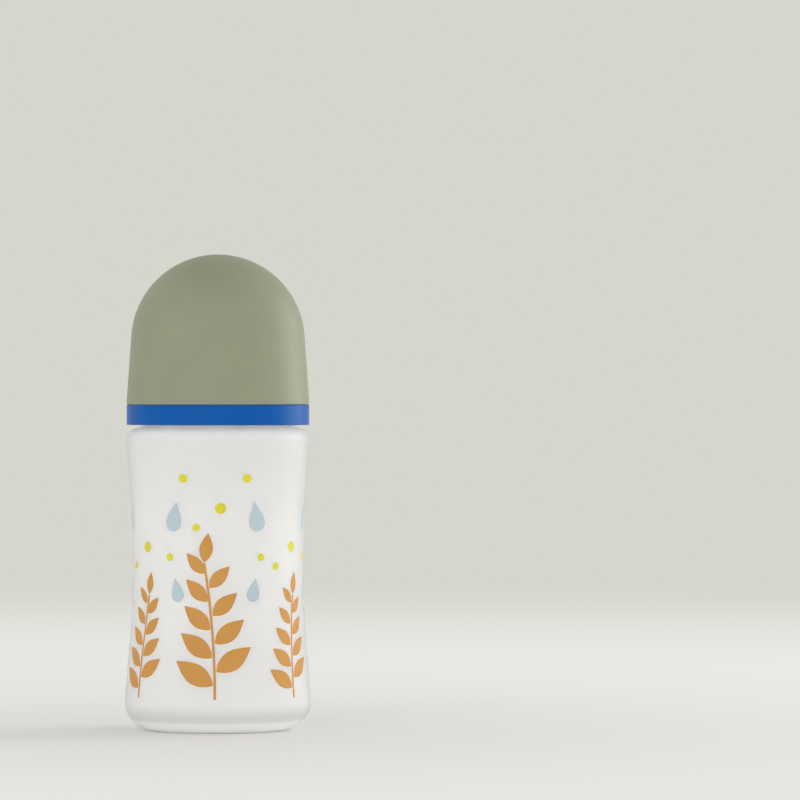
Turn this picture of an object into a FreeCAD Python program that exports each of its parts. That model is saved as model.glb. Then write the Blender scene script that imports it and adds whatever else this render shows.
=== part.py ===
"""Wide-neck baby bottle: a waisted bottle, a screw cap, a teat and a pull-off hood.

Millimetres, +Z up. The origin is the middle of the base, on the surface that the bottle stands on.
Every piece is a moulding that turns about Z, so each is drawn as half a section and revolved.
"""

import FreeCAD
import Part
import math
import os

# Bottle: outside
WAIST_R = 31.9
WAIST_LOW_Z = 45.5
WAIST_HIGH_Z = 80.5
WAIST_ROUNDING = 150.0
LOWER_FLARE = math.radians(4.7)
UPPER_FLARE = math.radians(5.1)
HEEL_ROUNDING = 10.8
SHOULDER_Z = 110.7
SHOULDER_SLOPE = math.radians(21)
SHOULDER_ROUNDING = 4.0
NECK_R = 24.4
NECK_ROOT_ROUNDING = 0.8
RIM_Z = 123.8

# Bottle: inside and base
BOTTLE_WALL = 1.6
FLOOR = 2.0
MOUTH_R = 22.2
PUSH_UP = 4.5
PUSH_UP_CROWN_R = 10.0
STANDING_RING_R = 21.0
STANDING_RING_ROUNDING = 1.5

# Cap: a threaded sleeve inside an outer wall, joined by the top plate
CAP_R = 34.0
CAP_BOTTOM_Z = 113.5
LEDGE_Z = 121.0
COLLAR_R = 31.6
CAP_WALL = 1.5
SLEEVE_BORE_R = 26.1
SLEEVE_BOTTOM_Z = 114.8
TEAT_FLANGE = 2.2
PLATE = 1.8
CAP_HOLE_R = 19.5
CAP_EDGE = 0.4
COLLAR_EDGE = 1.6

# Hood
HOOD_TOP_Z = 177.0
HOOD_OVERHANG = 0.1
HOOD_WALL = 1.4
HOOD_DRAFT = math.radians(4.0)
HOOD_EDGE = 0.6
GRIP_RIB_COUNT = 6
GRIP_RIB_R = 0.8
GRIP_RIB_HEIGHT = 4.2
GRIP_CLEARANCE = 0.15

# Teat
TEAT_TIP_Z = 166.0
TEAT_FLANGE_R = 23.9
TEAT_GROOVE_R = 19.2
TEAT_MOUTH_R = 17.2
TEAT_WALL = 2.0
SEAT_CLEARANCE = 0.1
BELL_R = 20.6
BELL_Z = 134.5
BELL_ROUNDING = 8.0
NIPPLE_ROOT_R = 8.3
NIPPLE_ROOT_Z = 146.0
NIPPLE_ROOT_ROUNDING = 7.0
NIPPLE_TIP_R = 7.0
NIPPLE_TIP_ROUNDING = 6.4

# Sizes that follow from the seats
HOOD_RIM_R = CAP_R + HOOD_OVERHANG
PLATE_BOTTOM_Z = RIM_Z + TEAT_FLANGE
PLATE_TOP_Z = PLATE_BOTTOM_Z + PLATE

Z_AXIS = FreeCAD.Vector(0, 0, 1)
ORIGIN = FreeCAD.Vector(0, 0, 0)
SHORTEST_EDGE = 1e-6


def section_point(radius, height):
    """Point of the half section, in the X-Z plane."""
    return FreeCAD.Vector(radius, 0, height)


def rounded_outline(corners):
    """Closed wire through (radius, height) corners. A third value rounds its corner with a tangent arc."""
    bends = []
    for before, corner, after in zip(corners[-1:] + corners[:-1], corners, corners[1:] + corners[:1]):
        here = section_point(*corner[:2])
        back = (section_point(*before[:2]) - here).normalize()
        ahead = (section_point(*after[:2]) - here).normalize()
        rounding = corner[2] if len(corner) > 2 else 0.0
        half_turn = (math.pi - back.getAngle(ahead)) / 2
        reach = rounding * math.tan(half_turn)
        depth = rounding / math.cos(half_turn) - rounding
        middle = here + (back + ahead).normalize() * depth
        bends.append((here + back * reach, middle, here + ahead * reach, rounding))
    edges = []
    for bend, following in zip(bends, bends[1:] + bends[:1]):
        start, middle, end, rounding = bend
        if rounding:
            edges.append(Part.Arc(start, middle, end).toShape())
        if end.distanceToPoint(following[0]) > SHORTEST_EDGE:
            edges.append(Part.LineSegment(end, following[0]).toShape())
    return Part.Wire(edges)


def turned(corners):
    """Solid made by turning a rounded section about Z."""
    return Part.Face(rounded_outline(corners)).revolve(ORIGIN, Z_AXIS, 360)


def crown_rounding(corner_r, turn):
    """Rounding that starts on the axis, so that a flat top and a sloping side become one dome."""
    return corner_r / math.tan(turn / 2)


def make_bottle():
    """One-piece bottle: pushed-up base, rounded heel, waisted body, sloping shoulder and a plain neck."""
    heel_r = WAIST_R + WAIST_LOW_Z * math.tan(LOWER_FLARE)
    shoulder_r = WAIST_R + (SHOULDER_Z - WAIST_HIGH_Z) * math.tan(UPPER_FLARE)
    neck_root_z = SHOULDER_Z + (shoulder_r - NECK_R) * math.tan(SHOULDER_SLOPE)
    shoulder_in_r = shoulder_r - BOTTLE_WALL
    shoulder_in_z = SHOULDER_Z - BOTTLE_WALL * (1 - math.sin(SHOULDER_SLOPE)) / math.cos(SHOULDER_SLOPE)
    mouth_low_z = shoulder_in_z + (shoulder_in_r - MOUTH_R) * math.tan(SHOULDER_SLOPE)
    push_up_slope = math.atan2(PUSH_UP, STANDING_RING_R - PUSH_UP_CROWN_R)
    crown = crown_rounding(PUSH_UP_CROWN_R, push_up_slope)
    outside = [
        (0, PUSH_UP),
        (PUSH_UP_CROWN_R, PUSH_UP, crown),
        (STANDING_RING_R, 0, STANDING_RING_ROUNDING),
        (heel_r, 0, HEEL_ROUNDING),
        (WAIST_R, WAIST_LOW_Z, WAIST_ROUNDING),
        (WAIST_R, WAIST_HIGH_Z, WAIST_ROUNDING),
        (shoulder_r, SHOULDER_Z, SHOULDER_ROUNDING),
        (NECK_R, neck_root_z, NECK_ROOT_ROUNDING),
        (NECK_R, RIM_Z),
    ]
    inside = [
        (MOUTH_R, RIM_Z),
        (MOUTH_R, mouth_low_z),
        (shoulder_in_r, shoulder_in_z, SHOULDER_ROUNDING - BOTTLE_WALL),
        (WAIST_R - BOTTLE_WALL, WAIST_HIGH_Z, WAIST_ROUNDING),
        (WAIST_R - BOTTLE_WALL, WAIST_LOW_Z, WAIST_ROUNDING),
        (heel_r - BOTTLE_WALL, FLOOR, HEEL_ROUNDING - FLOOR),
        (STANDING_RING_R, FLOOR),
        (PUSH_UP_CROWN_R, PUSH_UP + FLOOR, crown),
        (0, PUSH_UP + FLOOR),
    ]
    return turned(outside + inside)


def make_cap():
    """Screw cap: visible band, ledge for the hood, collar, top plate with the teat's hole, and the sleeve."""
    band_in_r = CAP_R - CAP_WALL
    collar_in_r = COLLAR_R - CAP_WALL
    sleeve_r = SLEEVE_BORE_R + CAP_WALL
    return turned([
        (CAP_HOLE_R, PLATE_TOP_Z, CAP_EDGE),
        (COLLAR_R, PLATE_TOP_Z, COLLAR_EDGE),
        (COLLAR_R, LEDGE_Z),
        (CAP_R, LEDGE_Z, CAP_EDGE),
        (CAP_R, CAP_BOTTOM_Z, CAP_EDGE),
        (band_in_r, CAP_BOTTOM_Z),
        (band_in_r, LEDGE_Z - CAP_WALL),
        (collar_in_r, LEDGE_Z - CAP_WALL),
        (collar_in_r, PLATE_BOTTOM_Z),
        (sleeve_r, PLATE_BOTTOM_Z),
        (sleeve_r, SLEEVE_BOTTOM_Z),
        (SLEEVE_BORE_R, SLEEVE_BOTTOM_Z),
        (SLEEVE_BORE_R, PLATE_BOTTOM_Z),
        (CAP_HOLE_R, PLATE_BOTTOM_Z),
    ])


def make_hood():
    """Domed hood with a drafted side. Ribs inside its rim grip the cap's collar."""
    turn = math.pi / 2 - HOOD_DRAFT
    height = HOOD_TOP_Z - LEDGE_Z
    top_r = HOOD_RIM_R - height * math.tan(HOOD_DRAFT)
    inner_rim_r = HOOD_RIM_R - HOOD_WALL
    inner_top_r = inner_rim_r - (height - HOOD_WALL) * math.tan(HOOD_DRAFT)
    shell = turned([
        (0, HOOD_TOP_Z),
        (top_r, HOOD_TOP_Z, crown_rounding(top_r, turn)),
        (HOOD_RIM_R, LEDGE_Z, HOOD_EDGE),
        (inner_rim_r, LEDGE_Z),
        (inner_top_r, HOOD_TOP_Z - HOOD_WALL, crown_rounding(inner_top_r, turn)),
        (0, HOOD_TOP_Z - HOOD_WALL),
    ])
    rib_centre = FreeCAD.Vector(COLLAR_R + GRIP_CLEARANCE + GRIP_RIB_R, 0, LEDGE_Z + HOOD_EDGE)
    ribs = []
    for step in range(GRIP_RIB_COUNT):
        rib = Part.makeCylinder(GRIP_RIB_R, GRIP_RIB_HEIGHT, rib_centre)
        rib.rotate(ORIGIN, Z_AXIS, 360 * step / GRIP_RIB_COUNT)
        ribs.append(rib)
    return shell.fuse(ribs).removeSplitter().Solids[0]


def make_teat():
    """Silicone teat: flange under the cap's plate, groove in its hole, bell and nipple."""
    bell_in_r = BELL_R - TEAT_WALL
    bell_in_z = BELL_Z - TEAT_WALL / 2
    root_in_z = NIPPLE_ROOT_Z - TEAT_WALL / 2
    lip_z = PLATE_TOP_Z + SEAT_CLEARANCE
    return turned([
        (0, TEAT_TIP_Z),
        (NIPPLE_TIP_R, TEAT_TIP_Z, NIPPLE_TIP_ROUNDING),
        (NIPPLE_ROOT_R, NIPPLE_ROOT_Z, NIPPLE_ROOT_ROUNDING),
        (BELL_R, BELL_Z, BELL_ROUNDING),
        (BELL_R, lip_z),
        (TEAT_GROOVE_R, lip_z),
        (TEAT_GROOVE_R, PLATE_BOTTOM_Z),
        (TEAT_FLANGE_R, PLATE_BOTTOM_Z),
        (TEAT_FLANGE_R, RIM_Z),
        (TEAT_MOUTH_R, RIM_Z),
        (TEAT_MOUTH_R, lip_z),
        (bell_in_r, bell_in_z, BELL_ROUNDING - TEAT_WALL),
        (NIPPLE_ROOT_R - TEAT_WALL, root_in_z, NIPPLE_ROOT_ROUNDING + TEAT_WALL),
        (NIPPLE_TIP_R - TEAT_WALL, TEAT_TIP_Z - TEAT_WALL, NIPPLE_TIP_ROUNDING - TEAT_WALL),
        (0, TEAT_TIP_Z - TEAT_WALL),
    ])


def main():
    os.makedirs("parts", exist_ok=True)
    pieces = {
        "bottle": make_bottle(),
        "cap": make_cap(),
        "hood": make_hood(),
        "teat": make_teat(),
    }
    for name, shape in pieces.items():
        shape.exportStep(f"parts/{name}.step")
        print(name, shape.ShapeType, len(shape.Solids), shape.isValid(), round(shape.Volume / 1000, 2), "cm3")


main()
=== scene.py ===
"""Looks of the wide-neck baby bottle: materials, screw threads, silicone teat, print and volume scale."""

import bmesh
import bpy
import math
from mathutils import Matrix, Vector
from mathutils.bvhtree import BVHTree


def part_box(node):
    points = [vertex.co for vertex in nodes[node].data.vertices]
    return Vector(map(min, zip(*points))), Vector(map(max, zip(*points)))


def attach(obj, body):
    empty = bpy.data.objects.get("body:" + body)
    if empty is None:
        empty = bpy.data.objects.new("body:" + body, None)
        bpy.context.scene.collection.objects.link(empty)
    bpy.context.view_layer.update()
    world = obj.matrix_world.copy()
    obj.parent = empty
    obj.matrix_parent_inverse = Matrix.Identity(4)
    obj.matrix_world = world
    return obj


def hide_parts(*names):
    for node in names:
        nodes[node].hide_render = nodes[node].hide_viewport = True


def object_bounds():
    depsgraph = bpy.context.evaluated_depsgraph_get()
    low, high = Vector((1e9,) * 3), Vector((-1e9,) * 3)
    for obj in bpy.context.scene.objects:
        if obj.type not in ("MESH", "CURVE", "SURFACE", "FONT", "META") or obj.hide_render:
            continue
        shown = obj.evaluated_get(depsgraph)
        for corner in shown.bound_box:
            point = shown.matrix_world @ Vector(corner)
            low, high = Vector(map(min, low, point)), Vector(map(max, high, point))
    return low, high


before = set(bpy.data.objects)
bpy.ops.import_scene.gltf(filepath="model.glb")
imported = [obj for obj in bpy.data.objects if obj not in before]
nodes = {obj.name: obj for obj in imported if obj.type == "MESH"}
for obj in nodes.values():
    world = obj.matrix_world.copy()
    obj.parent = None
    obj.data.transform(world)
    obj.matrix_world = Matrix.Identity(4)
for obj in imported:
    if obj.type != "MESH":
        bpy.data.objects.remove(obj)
cad_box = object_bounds()

MM = 0.001

# Places in the photograph, in pixels of its 800 x 800 frame
PHOTO_SIZE = 800
PHOTO_AXIS_X = 218.0
PHOTO_TOP_Y = 254.5
PHOTO_BASE_Y = 729.5

# Camera: its distance in metres and its sensor in millimetres
CAMERA_DISTANCE = 2.0
SENSOR = 36.0

# Colours, as screen values of 0 to 255
MILK_WHITE = (254, 254, 253)
CAP_BLUE = (8, 93, 178)
HOOD_SAGE = (156, 160, 134)
SILICONE_TINT = (252, 248, 240)
INK_TAN = (217, 158, 84)
INK_BLUE = (197, 215, 223)
INK_YELLOW = (236, 226, 60)
INK_GREY = (128, 130, 124)
TABLE = (250, 249, 245)
BACKGROUND = (214, 214, 206)

# Moulded skins: the noise of the colour mottle, the uneven gloss and the grain
NOISE_SPAN = (0.3, 0.7)
MOTTLE_SIZE = 14.0 * MM
MOTTLE_DETAIL = 3
GLOSS_SIZE = 5.0 * MM
GLOSS_DETAIL = 4
GLOSS_SWING = 0.1
GRAIN_DETAIL = 2
PLASTIC_IOR = 1.49
SILICONE_IOR = 1.41
INK_IOR = 1.5

# Bottle wall: how far light spreads in it, and the share that comes through, which is less at the thick base
LIGHT_SPREAD = 5.0 * MM
MILKINESS = 0.55
BASE_MILKINESS = 0.1
THICK_BASE = 6.0 * MM
INNER_SKIN_ALPHA = 0.2
# The wall is clearer where it is seen edge-on, up to the thick neck
EDGE_ON_START = 0.5
THIN_WALL_TOP = 112.0 * MM
THICK_NECK = 112.8 * MM
# Painted shade: brightness of the wall by height near the base, darker in a grey band where the floor's edge
# stands behind the wall and less light comes through
HEEL_PAINTED_SHADES = [(0, 0.97), (3.4 * MM, 0.97), (4.6 * MM, 0.84), (5.6 * MM, 0.84), (11 * MM, 1.0)]

# Thread: one right-handed start, shared by the neck and the cap
THREAD_LEAD = 5.0 * MM
THREAD_TURNS = 1.25
THREAD_DEPTH = 1.25 * MM
THREAD_ROOT = 2.0 * MM
THREAD_CREST = 1.0 * MM
THREAD_SUNK = 0.15 * MM
THREAD_EDGE = 0.25 * MM
THREAD_BELOW_RIM = 7.6 * MM
THREAD_RUN_OUT = 0.08
THREAD_STEPS = 160

# Teat: the groove goes round the cap's plate, and heights of the bell and nipple are above the plate's top
TEAT_WALL = 2.0 * MM
TEAT_LIP = 0.15 * MM
TEAT_GROOVE_R = 19.2 * MM
TEAT_MOUTH_R = 17.2 * MM
PLATE = 1.8 * MM
FLANGE_GAP = 0.05 * MM
BELL_R = 20.6 * MM
BELL_HEIGHT = 7.2 * MM
BELL_ROUNDING = 8.0 * MM
LATCH_R = 14.8 * MM
LATCH_HEIGHT = 12.1 * MM
LATCH_STEP = 0.4 * MM
LATCH_EDGE = 0.3 * MM
NIPPLE_ROOT_R = 8.2 * MM
NIPPLE_ROOT_HEIGHT = 18.2 * MM
NIPPLE_ROOT_ROUNDING = 6.0 * MM
NIPPLE_INNER_ROOT_ROUNDING = 9.0 * MM
NIPPLE_WAIST_R = 6.7 * MM
NIPPLE_WAIST_BELOW_TIP = 14.0 * MM
NIPPLE_WAIST_ROUNDING = 25.0 * MM
NIPPLE_TIP_R = 7.1 * MM
NIPPLE_TIP_ROUNDING = 6.0 * MM
THROAT_ROUNDING = 3.0 * MM
SOFT_EDGE = 0.4 * MM
GROOVE_EDGE = 0.15 * MM
FLOW_HOLE_R = 0.4 * MM
FLOW_HOLE_EDGE = 0.1 * MM
ARC_STEP = math.radians(12)
TEAT_SEGMENTS = 96

# Vent on the teat's bell, a low button with a dished middle
VENT_ANGLE = math.radians(35)
VENT_PLACE = 10.0 * MM
VENT_R = 1.9 * MM
VENT_FOOT_R = 2.09 * MM
VENT_DISH_R = 1.33 * MM
VENT_CENTRE_R = 0.2 * MM
VENT_HEIGHT = 0.6 * MM
VENT_CENTRE_HEIGHT = 0.12 * MM
VENT_EDGE = 0.3 * MM
VENT_FINE_EDGE = 0.05 * MM
VENT_SEGMENTS = 40

# Ink film on the bottle
INK_LIFT = 0.05 * MM
INK_CELL = 1.5 * MM

# Sprigs round the front and sides, in turn tall and short
SPRIG_STEP = math.radians(56)
SPRIG_ANGLES = [SPRIG_STEP * step for step in (-2, -1, 0, 1, 2)]
SPRIG_LOW = 13.0 * MM
SPRIG_HEIGHTS = (50 * MM, 38 * MM)
SPRIG_LEAN = 0.08
STEM_WIDTH = 0.9 * MM
STEM_STEPS = 16
# Leaves of a sprig, from the lowest to the highest. Places and lengths are shares of the sprig's height
LEAF_COUNT = 9
LEAF_PLACES = (0.10, 0.92)
LEAF_LENGTHS = (0.34, 0.19)
LEAF_TILTS = (math.radians(58), math.radians(40))
LEAF_WIDTH = 0.46
LEAF_BELLY = 0.85
LEAF_GAP = 0.15 * MM
LEAF_STEPS = 14
TIP_LEAF_LENGTH = 0.22
TIP_LEAF_WIDTH = 0.10
TIP_LEAF_TILT = math.radians(8)
# Top of a sprig, as a share of its height, and the dots over it, as (sideways, height above the top, radius)
SPRIG_TOP = 1.2
SPRIG_DOTS = [(2 * MM, 10 * MM, 2.0 * MM), (-7 * MM, 3 * MM, 1.4 * MM)]
# Drops between sprigs, as (sideways, height, length, tilt), and dots, as (sideways, height, radius)
GAP_DROPS = [(0, 80 * MM, 11.0 * MM, math.radians(10)), (1 * MM, 53 * MM, 8.8 * MM, math.radians(-10))]
GAP_DOTS = [(4 * MM, 94 * MM, 1.6 * MM), (-2 * MM, 65 * MM, 1.4 * MM)]
DROP_WIDTH = 0.40
DROP_TAPER = 1.4
DROP_STEPS = 28
DOT_STEPS = 24

# Volume scale, in millilitres, and the steps that find its fill heights
SCALE_STEP = 20
SCALE_TOP = 240
MILLILITRE = 1e-6
FILL_STEP = 0.25 * MM
RAY_NUDGE = 0.001 * MM
# The scale's marks on the back
SCALE_ANGLE = math.pi
TICK_WIDTH = 0.5 * MM
LONG_TICK = 8.0 * MM
SHORT_TICK = 4.5 * MM
FIGURES_SIDE = 10.0 * MM
FIGURE_HEIGHT = 4.2 * MM
FONT_SIZE = 1.4 * FIGURE_HEIGHT
UNIT_RISE = 6.5 * MM

# Stage: the table's sizes are in metres, and it fades between two distances from the bottle's axis
TABLE_R = 8.0
TABLE_SEGMENTS = 96
TABLE_ROUGHNESS = 0.7
TABLE_FADE = (0.022, 1.6)
TABLE_FADE_POWER = 1 / 3
AMBIENT_LEVEL = 1.3
AMBIENT_ABOVE = 0.2


def srgb(red, green, blue):
    """Linear colour from a screen colour of 0 to 255."""
    def linear(value):
        value = value / 255
        return value / 12.92 if value <= 0.04045 else ((value + 0.055) / 1.055) ** 2.4
    return (linear(red), linear(green), linear(blue), 1.0)


def shaded(colour, factor):
    """The same colour, darker or lighter."""
    return tuple(min(1.0, value * factor) for value in colour[:3]) + (1.0,)


def between(ends, share):
    """Value part of the way from the first end to the second."""
    return ends[0] + (ends[1] - ends[0]) * share


# Shader nodes

def upward(tree, coordinates):
    """Z of the shaded place or, in a world, of the direction."""
    place = tree.nodes.new("ShaderNodeTexCoord")
    parts = tree.nodes.new("ShaderNodeSeparateXYZ")
    tree.links.new(place.outputs[coordinates], parts.inputs["Vector"])
    return parts.outputs["Z"]


def map_range(tree, value, before, after, smooth=False):
    """Value moved from one (low, high) range to another, and kept inside it."""
    node = tree.nodes.new("ShaderNodeMapRange")
    node.interpolation_type = "SMOOTHSTEP" if smooth else "LINEAR"
    node.inputs["From Min"].default_value = before[0]
    node.inputs["From Max"].default_value = before[1]
    node.inputs["To Min"].default_value = after[0]
    node.inputs["To Max"].default_value = after[1]
    tree.links.new(value, node.inputs["Value"])
    return node.outputs["Result"]


def combine(tree, operation, first, second):
    """Two values joined by an operation."""
    node = tree.nodes.new("ShaderNodeMath")
    node.operation = operation
    tree.links.new(first, node.inputs[0])
    tree.links.new(second, node.inputs[1])
    return node.outputs["Value"]


def ramp(tree, share, stops, interpolation="LINEAR"):
    """Colour by a share of 0 to 1, from (place, colour) stops in rising order."""
    node = tree.nodes.new("ShaderNodeValToRGB")
    node.color_ramp.interpolation = interpolation
    elements = node.color_ramp.elements
    for place, _ in stops[1:-1]:
        elements.new(place)
    for element, (place, colour) in zip(elements, stops):
        element.position = place
        element.color = colour
    tree.links.new(share, node.inputs["Fac"])
    return node.outputs["Color"]


def send_mix(tree, share, first, second, output):
    """Sends a mix of two shaders to the tree's output, with this share of the second."""
    mix = tree.nodes.new("ShaderNodeMixShader")
    tree.links.new(share, mix.inputs["Fac"])
    tree.links.new(first, mix.inputs[1])
    tree.links.new(second, mix.inputs[2])
    tree.links.new(mix.outputs["Shader"], tree.nodes[output].inputs["Surface"])


# Materials

def moulded(name, colour, roughness, grain, grain_height, mottle=0.03):
    """Moulded plastic, silicone or ink: slow colour mottle, uneven gloss and a fine grain.

    Returns the material and its shader, so that the caller can set the values that are the same all over.
    """
    material = bpy.data.materials.new(name)
    material.use_nodes = True
    tree = material.node_tree
    shader = tree.nodes["Principled BSDF"]
    place = tree.nodes.new("ShaderNodeTexCoord")

    def noise(size, detail):
        node = tree.nodes.new("ShaderNodeTexNoise")
        node.inputs["Scale"].default_value = 1 / size
        node.inputs["Detail"].default_value = detail
        tree.links.new(place.outputs["Object"], node.inputs["Vector"])
        return node.outputs["Fac"]

    shades = [shaded(srgb(*colour), 1 - mottle), shaded(srgb(*colour), 1 + mottle)]
    tint = ramp(tree, noise(MOTTLE_SIZE, MOTTLE_DETAIL), list(zip(NOISE_SPAN, shades)))
    tree.links.new(tint, shader.inputs["Base Color"])

    swing = (roughness * (1 - GLOSS_SWING), roughness * (1 + GLOSS_SWING))
    gloss = map_range(tree, noise(GLOSS_SIZE, GLOSS_DETAIL), NOISE_SPAN, swing)
    tree.links.new(gloss, shader.inputs["Roughness"])

    skin = tree.nodes.new("ShaderNodeBump")
    skin.inputs["Distance"].default_value = grain_height
    tree.links.new(noise(grain, GRAIN_DETAIL), skin.inputs["Height"])
    tree.links.new(skin.outputs["Normal"], shader.inputs["Normal"])
    return material, shader


def milky(name):
    """Milky polypropylene with a soft gloss, for both skins of the bottle's wall."""
    material, shader = moulded(
        name, MILK_WHITE, roughness=0.34, grain=0.5 * MM, grain_height=0.002 * MM, mottle=0.005
    )
    shader.inputs["IOR"].default_value = PLASTIC_IOR
    return material, shader


def clear_edge(tree, height):
    """Share of clear plastic: it grows where the wall is seen edge-on, and the thick neck has none."""
    edge = tree.nodes.new("ShaderNodeLayerWeight")
    edge_on = map_range(tree, edge.outputs["Facing"], (EDGE_ON_START, 1), (0, 1))
    thin = map_range(tree, height, (THIN_WALL_TOP, THICK_NECK), (1, 0), smooth=True)
    return combine(tree, "MULTIPLY", edge_on, thin)


def heel_shade(tree, height):
    """Painted shade by height: a grey level that darkens the wall near the base, where the floor's edge
    stands behind the heel.
    """
    top = HEEL_PAINTED_SHADES[-1][0]
    along = map_range(tree, height, (0, top), (0, 1))
    stops = [(place / top, (level, level, level, 1)) for place, level in HEEL_PAINTED_SHADES]
    return ramp(tree, along, stops, "EASE")


def bottle_material():
    """Outer skin of the bottle: light spreads inside the wall, and part of it comes through.

    The clear edge draws the wall's thin outline.
    """
    material, shader = milky("bottle_plastic")
    shader.subsurface_method = "BURLEY"
    shader.inputs["Subsurface Weight"].default_value = 1.0
    shader.inputs["Subsurface Radius"].default_value = (1, 1, 1)
    shader.inputs["Subsurface Scale"].default_value = LIGHT_SPREAD
    tree = material.node_tree
    height = upward(tree, "Object")
    tree.links.new(clear_edge(tree, height), shader.inputs["Transmission Weight"])

    mottled = shader.inputs["Base Color"].links[0].from_socket
    # Painted shade: the mottled colour is darkened by height near the base
    colour = tree.nodes.new("ShaderNodeMix")
    colour.data_type = "RGBA"
    colour.blend_type = "MULTIPLY"
    colour.inputs["Factor"].default_value = 1.0
    tree.links.new(mottled, colour.inputs["A"])
    tree.links.new(heel_shade(tree, height), colour.inputs["B"])
    tree.links.new(colour.outputs["Result"], shader.inputs["Base Color"])

    milk = tree.nodes.new("ShaderNodeBsdfTranslucent")
    tree.links.new(colour.outputs["Result"], milk.inputs["Color"])
    through = map_range(tree, height, (0, THICK_BASE), (BASE_MILKINESS, MILKINESS), smooth=True)
    send_mix(tree, through, shader.outputs["BSDF"], milk.outputs["BSDF"], "Material Output")
    return material


def inner_skin_material():
    """Inside of the bottle's wall, mostly clear, because the outer skin already spreads the light."""
    material, shader = milky("bottle_inside")
    shader.inputs["Alpha"].default_value = INNER_SKIN_ALPHA
    return material


def cap_material():
    """Blue polypropylene with a satin gloss."""
    material, shader = moulded(
        "cap_plastic", CAP_BLUE, roughness=0.36, grain=0.4 * MM, grain_height=0.004 * MM
    )
    shader.inputs["IOR"].default_value = PLASTIC_IOR
    shader.inputs["Specular IOR Level"].default_value = 0.12
    return material


def hood_material():
    """Sage polypropylene with a satin skin."""
    material, shader = moulded(
        "hood_plastic", HOOD_SAGE, roughness=0.42, grain=0.4 * MM, grain_height=0.006 * MM
    )
    shader.inputs["IOR"].default_value = PLASTIC_IOR
    shader.inputs["Specular IOR Level"].default_value = 0.2
    return material


def silicone_material():
    """Clear silicone with a faint warm tint and a soft skin."""
    material, shader = moulded(
        "silicone", SILICONE_TINT, roughness=0.2, grain=0.6 * MM, grain_height=0.004 * MM, mottle=0.02
    )
    shader.inputs["Transmission Weight"].default_value = 0.92
    shader.inputs["IOR"].default_value = SILICONE_IOR
    return material


def ink_material(name, colour):
    """Screen-printed ink with the slight unevenness of a printed film."""
    material, shader = moulded(
        name, colour, roughness=0.5, grain=0.35 * MM, grain_height=0.004 * MM, mottle=0.035
    )
    shader.inputs["IOR"].default_value = INK_IOR
    shader.inputs["Specular IOR Level"].default_value = 0.15
    return material


# Meshes

def add_piece(name, builder, material, body):
    """Turns a bmesh into a smooth piece that rides on a body."""
    mesh = bpy.data.meshes.new(name)
    builder.to_mesh(mesh)
    builder.free()
    mesh.shade_smooth()
    mesh.materials.append(material)
    piece = bpy.data.objects.new(name, mesh)
    bpy.context.scene.collection.objects.link(piece)
    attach(piece, body)
    return piece


def dress(node, material):
    """Gives a CAD node its finished material."""
    mesh = nodes[node].data
    mesh.materials.clear()
    mesh.materials.append(material)
    mesh.shade_smooth()


def dress_inside(node, material):
    """Gives a second material to the faces of a hollow node that look towards its middle."""
    low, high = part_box(node)
    middle = (low + high) / 2
    mesh = nodes[node].data
    mesh.materials.append(material)
    for face in mesh.polygons:
        if face.normal.dot(middle - face.center) > 0:
            face.material_index = 1


def around(radius, angle, height):
    """Point at an angle about the axis: 0 faces the viewer, and positive angles go to the viewer's right."""
    return Vector((radius * math.sin(angle), -radius * math.cos(angle), height))


def surface(piece):
    """Faces of a piece, ready to be met by rays."""
    return BVHTree.FromObject(piece, bpy.context.evaluated_depsgraph_get())


def met_from_outside(faces, angle, height):
    """Point and normal where a level ray towards the axis first meets a surface."""
    start = around(2 * cad_box[1].x, angle, height)
    point, normal, _, _ = faces.ray_cast(start, around(-1, angle, 0))
    return point, normal


def rounded(corners):
    """Closed outline through (radius, height, rounding) corners, each turned into an arc."""
    outline = []
    for before, corner, after in zip(corners[-1:] + corners[:-1], corners, corners[1:] + corners[:1]):
        here = Vector(corner[:2])
        back = (Vector(before[:2]) - here).normalized()
        ahead = (Vector(after[:2]) - here).normalized()
        rounding = corner[2]
        turn = math.pi - back.angle(ahead)
        start = here + back * rounding * math.tan(turn / 2)
        centre = here + (back + ahead).normalized() * rounding / math.cos(turn / 2)
        steps = max(1, math.ceil(turn / ARC_STEP))
        for step in range(steps + 1):
            swing = math.copysign(turn * step / steps, ahead.cross(back))
            outline.append(centre + Matrix.Rotation(swing, 2) @ (start - centre))
    return outline


def lathe(outline, segments):
    """Ring of faces made by turning a closed (radius, height) outline about Z."""
    builder = bmesh.new()
    rings = []
    for step in range(segments):
        angle = 2 * math.pi * step / segments
        rings.append([builder.verts.new(around(radius, angle, height)) for radius, height in outline])
    join_rings(builder, rings + rings[:1])
    return builder


def join_rings(builder, rings):
    """Faces between closed rings of vertices, each ring joined to the next."""
    for ring, following in zip(rings, rings[1:]):
        for index in range(len(ring)):
            after = (index + 1) % len(ring)
            builder.faces.new((ring[index], ring[after], following[after], following[index]))
    bmesh.ops.recalc_face_normals(builder, faces=builder.faces)


# Threads

def smooth_step(value):
    """0 to 1 with level ends."""
    value = min(1.0, max(0.0, value))
    return value * value * (3 - 2 * value)


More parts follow.
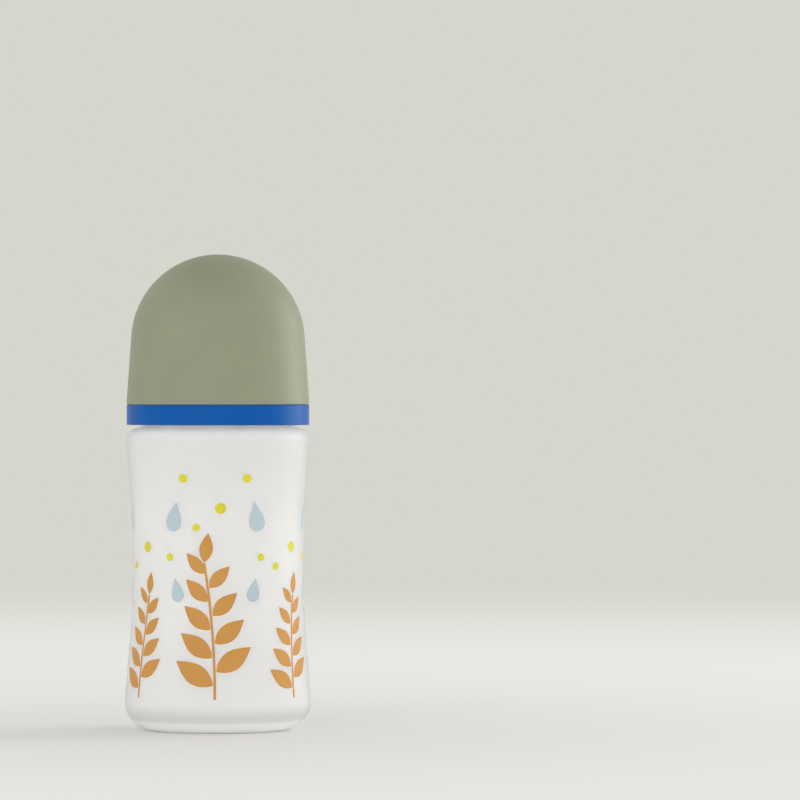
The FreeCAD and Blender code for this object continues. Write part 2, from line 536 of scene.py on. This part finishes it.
def make_thread(name, wall_r, depth, low_z, start_angle, material, body):
    """Thread ridge on a wall: outward for a positive depth and inward for a negative one.

    Its ends fade into the wall.
    """
    builder = bmesh.new()
    root_r = wall_r - math.copysign(THREAD_SUNK, depth)
    rings = []
    for step in range(THREAD_STEPS + 1):
        share = step / THREAD_STEPS
        fade = smooth_step(min(share, 1 - share) / THREAD_RUN_OUT)
        angle = start_angle + 2 * math.pi * THREAD_TURNS * share
        height = low_z + THREAD_LEAD * THREAD_TURNS * share
        crest_r = between((root_r, wall_r + depth), fade)
        section = [
            (root_r, -THREAD_ROOT / 2),
            (crest_r, -THREAD_CREST / 2),
            (crest_r, THREAD_CREST / 2),
            (root_r, THREAD_ROOT / 2),
        ]
        rings.append([builder.verts.new(around(radius, angle, height + rise)) for radius, rise in section])
    builder.faces.new(rings[0])
    builder.faces.new(list(reversed(rings[-1])))
    join_rings(builder, rings)
    piece = add_piece(name, builder, material, body)
    bevel = piece.modifiers.new("soft_edges", "BEVEL")
    bevel.width = THREAD_EDGE
    bevel.segments = 2


def make_threads(bottle_plastic, cap_plastic):
    """Matching ridges on the neck and in the cap's sleeve, half a lead apart."""
    low_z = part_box("bottle")[1].z - THREAD_BELOW_RIM
    middle_z = low_z + THREAD_LEAD * THREAD_TURNS / 2
    neck_r = met_from_outside(surface(nodes["bottle"]), 0, middle_z)[0].xy.length
    bore_r = surface(nodes["cap"]).ray_cast(Vector((0, 0, middle_z)), Vector((1, 0, 0)))[0].x
    make_thread("neck_thread", neck_r, THREAD_DEPTH, low_z, 0.0, bottle_plastic, "bottle")
    make_thread("cap_thread", bore_r, -THREAD_DEPTH, low_z, -math.pi, cap_plastic, "cap")


# Teat

def make_teat(silicone):
    """Silicone teat in the CAD teat's place: flange, groove, bell with a latch line, nipple with a hole."""
    low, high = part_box("teat")
    plate_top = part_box("cap")[1].z
    flange_r = high.x
    flange_top = plate_top - PLATE - FLANGE_GAP
    foot = low.z
    tip = high.z
    lip = plate_top + TEAT_LIP
    bell = plate_top + BELL_HEIGHT
    latch = plate_top + LATCH_HEIGHT
    root = plate_top + NIPPLE_ROOT_HEIGHT
    outside = [
        (FLOW_HOLE_R, tip, FLOW_HOLE_EDGE),
        (NIPPLE_TIP_R, tip, NIPPLE_TIP_ROUNDING),
        (NIPPLE_WAIST_R, tip - NIPPLE_WAIST_BELOW_TIP, NIPPLE_WAIST_ROUNDING),
        (NIPPLE_ROOT_R, root, NIPPLE_ROOT_ROUNDING),
        (LATCH_R, latch, LATCH_EDGE),
        (LATCH_R + LATCH_STEP, latch + LATCH_STEP, LATCH_EDGE),
        (BELL_R, bell, BELL_ROUNDING),
        (BELL_R, lip, SOFT_EDGE),
        (TEAT_GROOVE_R, lip, GROOVE_EDGE),
        (TEAT_GROOVE_R, flange_top, GROOVE_EDGE),
        (flange_r, flange_top, SOFT_EDGE),
        (flange_r, foot, SOFT_EDGE),
    ]
    inside = [
        (TEAT_MOUTH_R, foot, SOFT_EDGE),
        (TEAT_MOUTH_R, lip, THROAT_ROUNDING),
        (BELL_R - TEAT_WALL, bell - TEAT_WALL / 2, BELL_ROUNDING - TEAT_WALL),
        (NIPPLE_ROOT_R - TEAT_WALL, root - TEAT_WALL / 2, NIPPLE_INNER_ROOT_ROUNDING),
        (NIPPLE_TIP_R - TEAT_WALL, tip - TEAT_WALL, NIPPLE_TIP_ROUNDING - TEAT_WALL),
        (FLOW_HOLE_R, tip - TEAT_WALL, FLOW_HOLE_EDGE),
    ]
    body = lathe(rounded(outside + inside), TEAT_SEGMENTS)
    teat = add_piece("silicone_teat", body, silicone, "teat")
    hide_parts("teat")
    make_vent(teat, plate_top + VENT_PLACE, silicone)


def make_vent(teat, height, silicone):
    """Low round vent on the bell, with a dished middle."""
    point, normal = met_from_outside(surface(teat), VENT_ANGLE, height)
    place = Matrix.Translation(point) @ normal.to_track_quat("Z", "Y").to_matrix().to_4x4()
    button = lathe(rounded([
        (VENT_CENTRE_R, VENT_CENTRE_HEIGHT, VENT_FINE_EDGE),
        (VENT_DISH_R, VENT_HEIGHT, VENT_EDGE),
        (VENT_R, VENT_HEIGHT, VENT_EDGE),
        (VENT_FOOT_R, -VENT_HEIGHT, VENT_FINE_EDGE),
        (VENT_CENTRE_R, -VENT_HEIGHT, VENT_FINE_EDGE),
    ]), VENT_SEGMENTS)
    button.transform(place)
    add_piece("teat_vent", button, silicone, "teat")


# Ink on the bottle

bottle_faces = surface(nodes["bottle"])
bottle_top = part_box("bottle")[1].z
print_r = met_from_outside(bottle_faces, 0, bottle_top / 2)[0].xy.length


def wrap_print(name, builder, middle, ink):
    """Cuts flat faces of the X-Z plane into small cells and lays them on the bottle, centred on an angle."""
    bmesh.ops.triangulate(builder, faces=builder.faces)
    for axis in (Vector((1, 0, 0)), Vector((0, 0, 1))):
        places = [vertex.co.dot(axis) for vertex in builder.verts]
        for cell in range(math.ceil(min(places) / INK_CELL), math.floor(max(places) / INK_CELL) + 1):
            everything = builder.verts[:] + builder.edges[:] + builder.faces[:]
            bmesh.ops.bisect_plane(builder, geom=everything, plane_co=axis * cell * INK_CELL, plane_no=axis)
    for vertex in builder.verts:
        point, normal = met_from_outside(bottle_faces, middle + vertex.co.x / print_r, vertex.co.z)
        vertex.co = point + normal * INK_LIFT
    add_piece(name, builder, ink, "bottle")


def print_shapes(name, outlines, middle, ink):
    """Ink film on the bottle, from outlines of (sideways, height) points."""
    builder = bmesh.new()
    for outline in outlines:
        builder.faces.new([builder.verts.new((side, 0, height)) for side, height in outline])
    wrap_print(name, builder, middle, ink)


def print_words(name, words, side, height, middle, ink):
    """Printed figures that start at a place beside an angle and are centred on a height."""
    curve = bpy.data.curves.new(name, "FONT")
    curve.body = words
    curve.size = FONT_SIZE
    curve.align_y = "CENTER"
    writing = bpy.data.objects.new(name, curve)
    flat = bpy.data.meshes.new_from_object(writing)
    bpy.data.objects.remove(writing)
    builder = bmesh.new()
    builder.from_mesh(flat)
    bpy.data.meshes.remove(flat)
    for vertex in builder.verts:
        vertex.co = Vector((side + vertex.co.x, 0, height + vertex.co.y))
    wrap_print(name, builder, middle, ink)


# Motifs, as outlines of (sideways, height)

def tilted(points, tilt, side, height):
    """Outline tilted to the right by an angle and moved into place."""
    return [
        (side + x * math.cos(tilt) + y * math.sin(tilt), height - x * math.sin(tilt) + y * math.cos(tilt))
        for x, y in points
    ]


def leaf(length, width, tilt, side, height):
    """Pointed leaf that starts at (side, height)."""
    shares = [step / LEAF_STEPS for step in range(LEAF_STEPS + 1)]
    right = [(width / 2 * math.sin(math.pi * share ** LEAF_BELLY), length * share) for share in shares]
    left = [(-x, y) for x, y in reversed(right[1:-1])]
    return tilted(right + left, tilt, side, height)


def drop(length, tilt, side, height):
    """Round drop with its point at the top, centred on (side, height)."""
    points = []
    for step in range(DROP_STEPS):
        turn = 2 * math.pi * step / DROP_STEPS
        taper = math.sin(turn / 2) ** DROP_TAPER
        points.append((DROP_WIDTH * length * math.sin(turn) * taper, length / 2 * math.cos(turn)))
    return tilted(points, tilt, side, height)


def dot(radius, side, height):
    """Round dot."""
    turns = [2 * math.pi * step / DOT_STEPS for step in range(DOT_STEPS)]
    return [(side + radius * math.cos(turn), height + radius * math.sin(turn)) for turn in turns]


def sprig(height, low, lean):
    """Leafy sprig: a thin bent stem, leaves in turn to its left and right, and one above its tip."""
    def on_stem(share):
        return lean * share ** 2, low + height * share

    half = STEM_WIDTH / 2
    stem = [on_stem(step / STEM_STEPS) for step in range(STEM_STEPS + 1)]
    outlines = [[(x + half, y) for x, y in stem] + [(x - half, y) for x, y in reversed(stem)]]
    for index in range(LEAF_COUNT):
        share = between(LEAF_PLACES, index / (LEAF_COUNT - 1))
        hand = 1 if index % 2 else -1
        length = height * between(LEAF_LENGTHS, share)
        tilt = hand * between(LEAF_TILTS, share)
        side, place = on_stem(share)
        outlines.append(leaf(length, LEAF_WIDTH * length, tilt, side + hand * (half + LEAF_GAP), place))
    side, place = on_stem(1.0)
    tip_leaf = leaf(height * TIP_LEAF_LENGTH, height * TIP_LEAF_WIDTH, TIP_LEAF_TILT, side, place + LEAF_GAP)
    return outlines + [tip_leaf]


def make_print(tan, blue, yellow):
    """Sprigs with dots over them, and drops and dots in the gaps. The back is left to the scale.

    Sprigs lean to the left and right in turn, and so the gaps' motifs change sides.
    """
    for index, angle in enumerate(SPRIG_ANGLES):
        hand = 1 if index % 2 else -1
        height = SPRIG_HEIGHTS[index % 2]
        top = SPRIG_LOW + SPRIG_TOP * height
        dots = [dot(radius, side, top + rise) for side, rise, radius in SPRIG_DOTS]
        print_shapes(f"sprig_{index}", sprig(height, SPRIG_LOW, hand * SPRIG_LEAN * height), angle, tan)
        print_shapes(f"sprig_dots_{index}", dots, angle, yellow)
    for index, (left, right) in enumerate(zip(SPRIG_ANGLES, SPRIG_ANGLES[1:])):
        hand = 1 if index % 2 else -1
        middle = (left + right) / 2
        drops = [drop(length, hand * tilt, hand * side, height) for side, height, length, tilt in GAP_DROPS]
        dots = [dot(radius, hand * side, height) for side, height, radius in GAP_DOTS]
        print_shapes(f"drops_{index}", drops, middle, blue)
        print_shapes(f"gap_dots_{index}", dots, middle, yellow)


# Volume scale

def inside_area(height):
    """Cross-section of the space inside the bottle at a height.

    It is the last gap that a ray from the axis crosses before the outer wall.
    """
    radii = []
    outward = Vector((1, 0, 0))
    hit = bottle_faces.ray_cast(Vector((0, 0, height)), outward)[0]
    while hit is not None:
        radii.append(hit.x)
        hit = bottle_faces.ray_cast(hit + outward * RAY_NUDGE, outward)[0]
    outer = radii[-2] if len(radii) > 1 else 0.0
    inner = radii[-3] if len(radii) > 2 else 0.0
    return math.pi * (outer ** 2 - inner ** 2)


def fill_heights(volumes):
    """Height that each volume, in millilitres and in rising order, fills the bottle to."""
    height = FILL_STEP / 2
    held = 0.0
    heights = []
    for volume in volumes:
        while held < volume * MILLILITRE:
            held += inside_area(height) * FILL_STEP
            height += FILL_STEP
        heights.append(height)
    return heights


def tick(length, height):
    """Level stroke that starts at the scale's left."""
    low = height - TICK_WIDTH / 2
    high = height + TICK_WIDTH / 2
    return [(0, low), (length, low), (length, high), (0, high)]


def make_scale(ink):
    """Volume scale at the true fill heights: a tick at each step and a figure at every second one."""
    volumes = range(SCALE_STEP, SCALE_TOP + 1, SCALE_STEP)
    heights = fill_heights(volumes)
    ticks = []
    for volume, height in zip(volumes, heights):
        named = volume % (2 * SCALE_STEP) == 0
        ticks.append(tick(LONG_TICK if named else SHORT_TICK, height))
        if named:
            print_words(f"scale_{volume}", str(volume), FIGURES_SIDE, height, SCALE_ANGLE, ink)
    print_shapes("scale_ticks", ticks, SCALE_ANGLE, ink)
    print_words("scale_unit", "ml", FIGURES_SIDE, heights[-1] + UNIT_RISE, SCALE_ANGLE, ink)


# Stage

def seen_rays(tree):
    """1 for camera and glossy rays, which show the pale background, and 0 for rays that light the object."""
    path = tree.nodes.new("ShaderNodeLightPath")
    return combine(tree, "MAXIMUM", path.outputs["Is Camera Ray"], path.outputs["Is Glossy Ray"])


def floor_material():
    """Pale table that keeps the bottle's shadow near it and fades into the background far from it."""
    material = bpy.data.materials.new("floor")
    material.use_nodes = True
    tree = material.node_tree
    shader = tree.nodes["Principled BSDF"]
    shader.inputs["Base Color"].default_value = srgb(*TABLE)
    shader.inputs["Roughness"].default_value = TABLE_ROUGHNESS
    place = tree.nodes.new("ShaderNodeTexCoord")
    distance = tree.nodes.new("ShaderNodeVectorMath")
    distance.operation = "LENGTH"
    tree.links.new(place.outputs["Object"], distance.inputs[0])
    far = map_range(tree, distance.outputs["Value"], TABLE_FADE, (0, 1), smooth=True)
    glow = tree.nodes.new("ShaderNodeEmission")
    tree.links.new(ramp(tree, far, [(0, srgb(*TABLE)), (1, srgb(*BACKGROUND))]), glow.inputs["Color"])
    share = tree.nodes.new("ShaderNodeMath")
    share.operation = "POWER"
    share.inputs[1].default_value = TABLE_FADE_POWER
    tree.links.new(far, share.inputs[0])
    seen_share = combine(tree, "MULTIPLY", share.outputs["Value"], seen_rays(tree))
    send_mix(tree, seen_share, shader.outputs["BSDF"], glow.outputs["Emission"], "Material Output")
    return material


def make_floor():
    """Round table under the bottle."""
    builder = bmesh.new()
    bmesh.ops.create_circle(builder, cap_ends=True, segments=TABLE_SEGMENTS, radius=TABLE_R)
    mesh = bpy.data.meshes.new("floor")
    builder.to_mesh(mesh)
    builder.free()
    mesh.materials.append(floor_material())
    floor = bpy.data.objects.new("floor", mesh)
    floor.location.z = cad_box[0].z
    bpy.context.scene.collection.objects.link(floor)


def make_world():
    """Soft light all round, weaker from above. The camera and glossy skins see the pale background."""
    world = bpy.data.worlds.new("studio")
    bpy.context.scene.world = world
    world.use_nodes = True
    tree = world.node_tree
    ambient = tree.nodes["Background"]
    ambient.inputs["Color"].default_value = (1, 1, 1, 1)
    level = map_range(tree, upward(tree, "Generated"), (0, 1), (AMBIENT_LEVEL, AMBIENT_ABOVE))
    tree.links.new(level, ambient.inputs["Strength"])
    backdrop = tree.nodes.new("ShaderNodeBackground")
    backdrop.inputs["Color"].default_value = srgb(*BACKGROUND)
    light = ambient.outputs["Background"]
    send_mix(tree, seen_rays(tree), light, backdrop.outputs["Background"], "World Output")


def make_lamp(name, azimuth, elevation, distance, size, power):
    """Square softbox that faces the middle of the bottle.

    Azimuth 0 is on the viewer's side and 90 on the viewer's right.
    """
    lamp = bpy.data.lights.new(name, "AREA")
    lamp.size = size
    lamp.energy = power
    holder = bpy.data.objects.new(name, lamp)
    target = (cad_box[0] + cad_box[1]) / 2
    level = distance * math.cos(math.radians(elevation))
    rise = distance * math.sin(math.radians(elevation))
    holder.location = target + around(level, math.radians(azimuth), rise)
    holder.rotation_euler = (target - holder.location).to_track_quat("-Z", "Y").to_euler()
    bpy.context.scene.collection.objects.link(holder)


def make_camera():
    """Level camera at the height of the photograph's middle row.

    It stands beside the axis, so that the bottle is at its place in the photograph.
    """
    pixel = (cad_box[1].z - cad_box[0].z) / (PHOTO_BASE_Y - PHOTO_TOP_Y)
    camera = bpy.data.cameras.new("camera")
    camera.sensor_width = SENSOR
    camera.lens = SENSOR * CAMERA_DISTANCE / (PHOTO_SIZE * pixel)
    holder = bpy.data.objects.new("camera", camera)
    beside = (PHOTO_SIZE / 2 - PHOTO_AXIS_X) * pixel
    above = (PHOTO_BASE_Y - PHOTO_SIZE / 2) * pixel
    holder.location = (beside, -CAMERA_DISTANCE, above)
    holder.rotation_euler = (math.pi / 2, 0, 0)
    bpy.context.scene.collection.objects.link(holder)
    bpy.context.scene.camera = holder


bottle_plastic = bottle_material()
cap_plastic = cap_material()
dress("bottle", bottle_plastic)
dress_inside("bottle", inner_skin_material())
dress("cap", cap_plastic)
dress("hood", hood_material())
make_threads(bottle_plastic, cap_plastic)
make_teat(silicone_material())
make_print(
    tan=ink_material("ink_tan", INK_TAN),
    blue=ink_material("ink_blue", INK_BLUE),
    yellow=ink_material("ink_yellow", INK_YELLOW),
)
make_scale(ink_material("ink_grey", INK_GREY))

make_floor()
make_world()
make_lamp("key", azimuth=114, elevation=12, distance=1.6, size=1.0, power=10.0)
make_lamp("fill", azimuth=-25, elevation=20, distance=1.9, size=1.2, power=4.6)
make_camera()
bpy.context.scene.view_settings.view_transform = "Standard"
